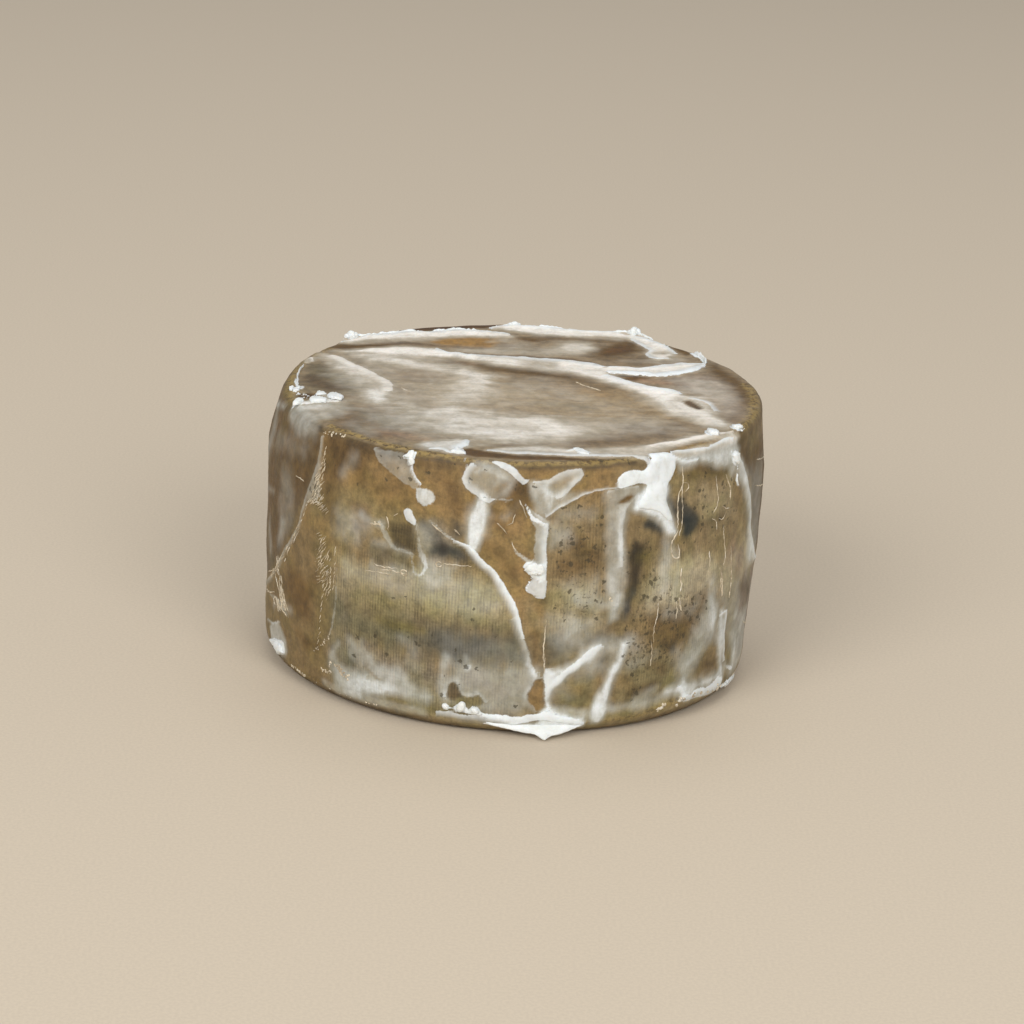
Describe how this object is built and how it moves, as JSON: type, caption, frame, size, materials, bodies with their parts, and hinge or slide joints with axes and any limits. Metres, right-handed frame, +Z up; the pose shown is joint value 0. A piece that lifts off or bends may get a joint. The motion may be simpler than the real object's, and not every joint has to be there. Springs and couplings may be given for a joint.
{
  "type": "sheep milk cheese wheel",
  "caption": "Drum-shaped whole wheel of aged raw sheep milk cheese, its brown cloth-marked rind streaked with white lard that ends in a small flap at the base.",
  "frame": {"origin": "Bottom centre of the bounding box, on the surface that the wheel stands on. The wheel's own axis is 0.5 mm towards -X and 0.8 mm towards +Y of it, because the lard flap stands out at the front.", "axes": "+Z is up, the wheel's axis. -Y is the front, the side with the lard flap at its foot. +X is to the right as seen from the front."},
  "size_m": [0.1822, 0.1796, 0.1055],
  "materials": {
    "larded_rind": "waxy, half matte; brown to olive rind under thin grey-white to white lard"
  },
  "bodies": {
    "root": {"cheese_wheel": "larded_rind"}
  },
  "joints": []
}
